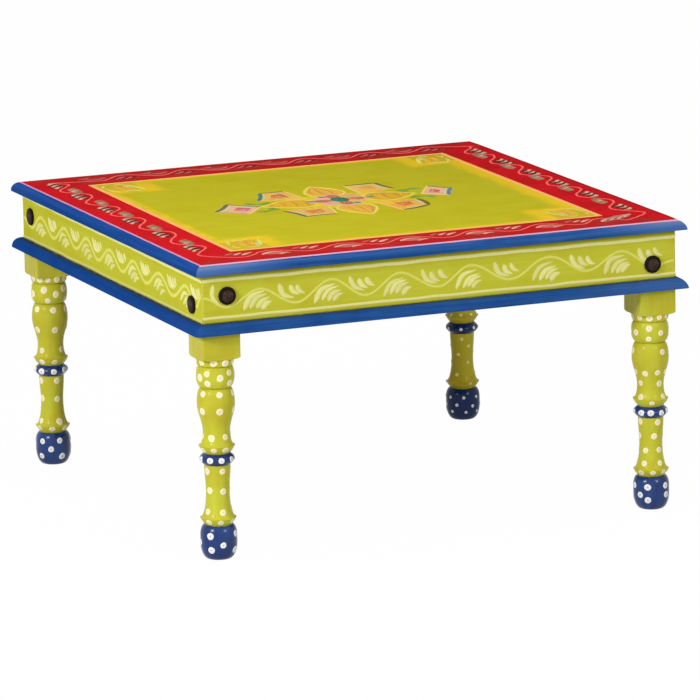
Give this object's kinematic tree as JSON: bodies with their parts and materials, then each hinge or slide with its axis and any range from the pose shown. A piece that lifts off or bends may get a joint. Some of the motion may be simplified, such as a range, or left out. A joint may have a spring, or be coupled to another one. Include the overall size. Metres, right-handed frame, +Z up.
{
  "type": "painted coffee table",
  "caption": "Low square wooden coffee table with a beaded top, a bolted apron box and turned legs, hand-painted in lime, blue and red with vines, dots and a flower.",
  "frame": {"origin": "on the floor under the middle of the square top", "axes": "+Z up, -Y towards the front apron, -X towards the left apron as seen from the front"},
  "size_m": [0.762, 0.762, 0.4286],
  "materials": {
    "top_paint": "brushed satin paint, golden field with a red border",
    "lime_paint": "brushed satin paint, lime yellow",
    "blue_paint": "brushed satin paint, deep blue",
    "raw_wood": "bare sawn wood",
    "dark_iron": "dark, rubbed iron",
    "plated_steel": "dull zinc plating"
  },
  "bodies": {
    "root": {"top_panel": "top_paint", "apron_front": "lime_paint", "top_bead_front": "blue_paint", "base_bead_front": "blue_paint", "cleat_front": "raw_wood", "bolt_front_left": "dark_iron", "washer_front_left": "plated_steel", "nut_front_left": "plated_steel", "screw_front_left": "plated_steel", "bolt_front_right": "dark_iron", "washer_front_right": "plated_steel", "nut_front_right": "plated_steel", "screw_front_right": "plated_steel", "apron_right": "lime_paint", "top_bead_right": "blue_paint", "base_bead_right": "blue_paint", "cleat_right": "raw_wood", "bolt_right_front": "dark_iron", "washer_right_front": "plated_steel", "nut_right_front": "plated_steel", "screw_right_front": "plated_steel", "bolt_right_back": "dark_iron", "washer_right_back": "plated_steel", "nut_right_back": "plated_steel", "screw_right_back": "plated_steel", "apron_back": "lime_paint", "top_bead_back": "blue_paint", "base_bead_back": "blue_paint", "cleat_back": "raw_wood", "bolt_back_right": "dark_iron", "washer_back_right": "plated_steel", "nut_back_right": "plated_steel", "screw_back_right": "plated_steel", "bolt_back_left": "dark_iron", "washer_back_left": "plated_steel", "nut_back_left": "plated_steel", "screw_back_left": "plated_steel", "apron_left": "lime_paint", "top_bead_left": "blue_paint", "base_bead_left": "blue_paint", "cleat_left": "raw_wood", "bolt_left_back": "dark_iron", "washer_left_back": "plated_steel", "nut_left_back": "plated_steel", "screw_left_back": "plated_steel", "bolt_left_front": "dark_iron", "washer_left_front": "plated_steel", "nut_left_front": "plated_steel", "screw_left_front": "plated_steel", "leg_front_left": "lime_paint", "leg_front_right": "lime_paint", "leg_back_right": "lime_paint", "leg_back_left": "lime_paint"}
  },
  "joints": []
}
